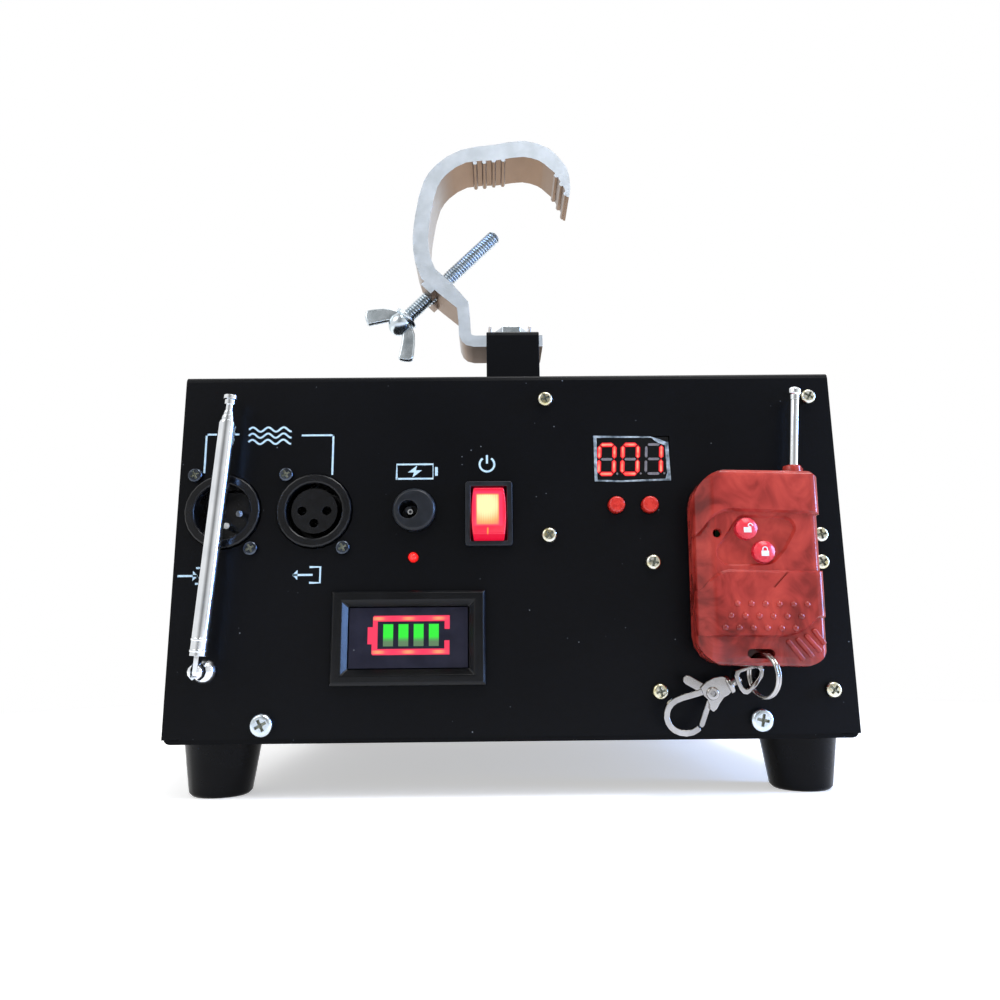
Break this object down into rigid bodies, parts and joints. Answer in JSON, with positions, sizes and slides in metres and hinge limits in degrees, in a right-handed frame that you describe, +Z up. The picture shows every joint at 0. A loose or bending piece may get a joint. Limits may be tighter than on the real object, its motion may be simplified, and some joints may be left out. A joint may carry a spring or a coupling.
{
  "type": "cold spark machine",
  "caption": "Battery cold spark fountain in a black sheet-metal case with a control panel, pipe clamp, telescopic antenna and a key-ring remote control.",
  "frame": {"origin": "centre of the overall bounding box's base, on the plane the rubber feet stand on", "axes": "+Z up towards the spark nozzle, the hook and the pipe; the control panel faces -Y; +X to the right as seen from the panel side"},
  "size_m": [0.214, 0.2052, 0.2675],
  "materials": {
    "powder_coat": "satin black powder coat",
    "rubber": "semi-gloss",
    "zinc": "zinc plated",
    "black_plastic": "fine satin",
    "display_black": "glossy window",
    "red_lens": "translucent lit red",
    "red_plastic": "glossy",
    "burl_plastic": "glossy burl pattern",
    "circuit_board": "solder mask",
    "chrome": "polished",
    "cast_aluminium": "matte bead-blasted",
    "steel": "plain sheet",
    "battery_wrap": "shrink film",
    "ceramic_wrap": "matte"
  },
  "bodies": {
    "case": {"case_wrap": "powder_coat", "base_pan": "powder_coat", "foot_front_left": "rubber", "foot_front_right": "rubber", "foot_rear_left": "rubber", "foot_rear_right": "rubber", "case_screw_front_left": "zinc", "case_screw_front_right": "zinc", "case_screw_rear_left": "zinc", "case_screw_rear_right": "zinc", "signal_in_housing": "black_plastic", "signal_in_pins": "zinc", "signal_out_housing": "black_plastic", "signal_out_insert": "black_plastic", "charge_jack": "black_plastic", "charge_jack_nut": "zinc", "charge_lamp": "red_lens", "rocker_frame": "black_plastic", "gauge_bezel": "black_plastic", "gauge_display": "display_black", "display_module": "display_black", "control_board": "circuit_board", "receiver_board": "circuit_board", "antenna_base": "chrome", "hanging_bracket": "powder_coat", "clamp_nut": "zinc", "battery_pack": "battery_wrap", "battery_strap": "steel", "hopper": "steel", "hopper_hinge": "steel", "feed_motor": "steel", "spark_chamber": "steel", "heater_band": "ceramic_wrap", "nozzle_ring": "steel", "blower_frame": "black_plastic"},
    "rocker": {"rocker_cap": "red_lens"},
    "display_left": {"display_button_left": "red_plastic"},
    "display_right": {"display_button_right": "red_plastic"},
    "antenna_mount": {"antenna_knuckle": "chrome"},
    "antenna_whip": {"antenna_tube": "chrome"},
    "antenna_mid": {"antenna_section_2": "chrome"},
    "antenna_upper": {"antenna_section_3": "chrome"},
    "antenna_end": {"antenna_tip": "chrome"},
    "clamp": {"clamp_hook": "cast_aluminium", "clamp_bolt": "zinc"},
    "wing": {"wing_screw": "zinc"},
    "lid": {"hopper_lid": "powder_coat"},
    "auger": {"feed_auger": "steel"},
    "rotor": {"blower_rotor": "black_plastic"},
    "remote": {"remote_back_shell": "burl_plastic", "remote_front_shell": "burl_plastic", "remote_board": "circuit_board"},
    "remote_upper": {"remote_button_upper": "red_plastic"},
    "remote_lower": {"remote_button_lower": "red_plastic"},
    "remote_tube": {"remote_antenna_tube": "chrome"},
    "remote_rod": {"remote_antenna_rod": "chrome"},
    "ring": {"key_ring": "chrome"},
    "clasp_link": {"clasp_swivel": "chrome"},
    "clasp_snap": {"clasp_body": "chrome"},
    "clasp_thumb": {"clasp_lever": "chrome"}
  },
  "joints": [
    {"name": "rocker_rock", "type": "hinge", "parent": "case", "child": "rocker", "pos_m": [-0.0067, -0.08355, 0.0877], "axis": [1, 0, 0], "range_deg": [0, 20]},
    {"name": "display_button_left_press", "type": "slide", "parent": "case", "child": "display_left", "axis": [0, 1, 0], "range_m": [0, 0.0005], "stiffness_N_per_m": 400},
    {"name": "display_button_right_press", "type": "slide", "parent": "case", "child": "display_right", "axis": [0, 1, 0], "range_m": [0, 0.0005], "stiffness_N_per_m": 400},
    {"name": "antenna_swivel", "type": "hinge", "parent": "case", "child": "antenna_mount", "pos_m": [-0.095, -0.09062, 0.039], "axis": [0, 1, 0], "range_deg": [-90, 86]},
    {"name": "antenna_tilt", "type": "hinge", "parent": "antenna_mount", "child": "antenna_whip", "pos_m": [-0.095, -0.09062, 0.039], "axis": [0.998, 0, -0.0628], "range_deg": [0, 90]},
    {"name": "antenna_extend", "type": "slide", "parent": "antenna_whip", "child": "antenna_mid", "axis": [0.0628, 0, 0.998], "range_m": [0, 0.045]},
    {"name": "antenna_extend_upper", "type": "slide", "parent": "antenna_mid", "child": "antenna_upper", "axis": [0.0628, 0, 0.998], "range_m": [0, 0.045]},
    {"name": "antenna_extend_tip", "type": "slide", "parent": "antenna_upper", "child": "antenna_end", "axis": [0.0628, 0, 0.998], "range_m": [0, 0.045]},
    {"name": "clamp_swivel", "type": "hinge", "parent": "case", "child": "clamp", "pos_m": [0.003, -0.01272, 0.167], "axis": [0, 0, 1], "continuous": true},
    {"name": "wing_screw_feed", "type": "slide", "parent": "clamp", "child": "wing", "axis": [0.7071, 0, 0.7071], "range_m": [-0.03, 0.012]},
    {"name": "hopper_lid_hinge", "type": "hinge", "parent": "case", "child": "lid", "pos_m": [0.05, 0.08378, 0.1379], "axis": [-1, 0, 0], "range_deg": [0, 110]},
    {"name": "feed_auger_turn", "type": "hinge", "parent": "case", "child": "auger", "pos_m": [0, 0.05628, 0.078], "axis": [1, 0, 0], "continuous": true},
    {"name": "blower_turn", "type": "hinge", "parent": "case", "child": "rotor", "pos_m": [-0.045, 0.05628, 0.057], "axis": [0, 0, 1], "continuous": true},
    {"name": "remote_lift", "type": "slide", "parent": "case", "child": "remote", "axis": [0, -1, 0], "range_m": [0, 0.08]},
    {"name": "remote_button_upper_press", "type": "slide", "parent": "remote", "child": "remote_upper", "axis": [0, 1, 0], "range_m": [0, 0.0008], "stiffness_N_per_m": 400},
    {"name": "remote_button_lower_press", "type": "slide", "parent": "remote", "child": "remote_lower", "axis": [0, 1, 0], "range_m": [0, 0.0008], "stiffness_N_per_m": 400},
    {"name": "remote_antenna_slide", "type": "slide", "parent": "remote", "child": "remote_tube", "axis": [0.0976, 0, 0.9952], "range_m": [0, 0.015]},
    {"name": "remote_rod_slide", "type": "slide", "parent": "remote_tube", "child": "remote_rod", "axis": [0.0976, 0, 0.9952], "range_m": [0, 0.02]},
    {"name": "ring_swing", "type": "hinge", "parent": "remote", "child": "ring", "pos_m": [0.07415, -0.09592, 0.04025], "axis": [-1, 0, 0], "range_deg": [0, 30]},
    {"name": "clasp_swing", "type": "hinge", "parent": "ring", "child": "clasp_link", "pos_m": [0.07184, -0.09021, 0.03486], "axis": [0, 1, 0], "range_deg": [-18, 12]},
    {"name": "clasp_turn", "type": "hinge", "parent": "clasp_link", "child": "clasp_snap", "pos_m": [0.07184, -0.09021, 0.03486], "axis": [-0.9033, 0, -0.4289], "range_deg": [-40, 15]},
    {"name": "clasp_press", "type": "hinge", "parent": "clasp_snap", "child": "clasp_thumb", "pos_m": [0.06004, -0.09021, 0.03103], "axis": [0, 1, 0], "range_deg": [0, 20], "stiffness_Nm_per_rad": 0.02}
  ],
  "couplings": [
    {"joint": "antenna_extend_upper", "follows": "antenna_extend", "ratio": 1},
    {"joint": "antenna_extend_tip", "follows": "antenna_extend", "ratio": 1}
  ]
}
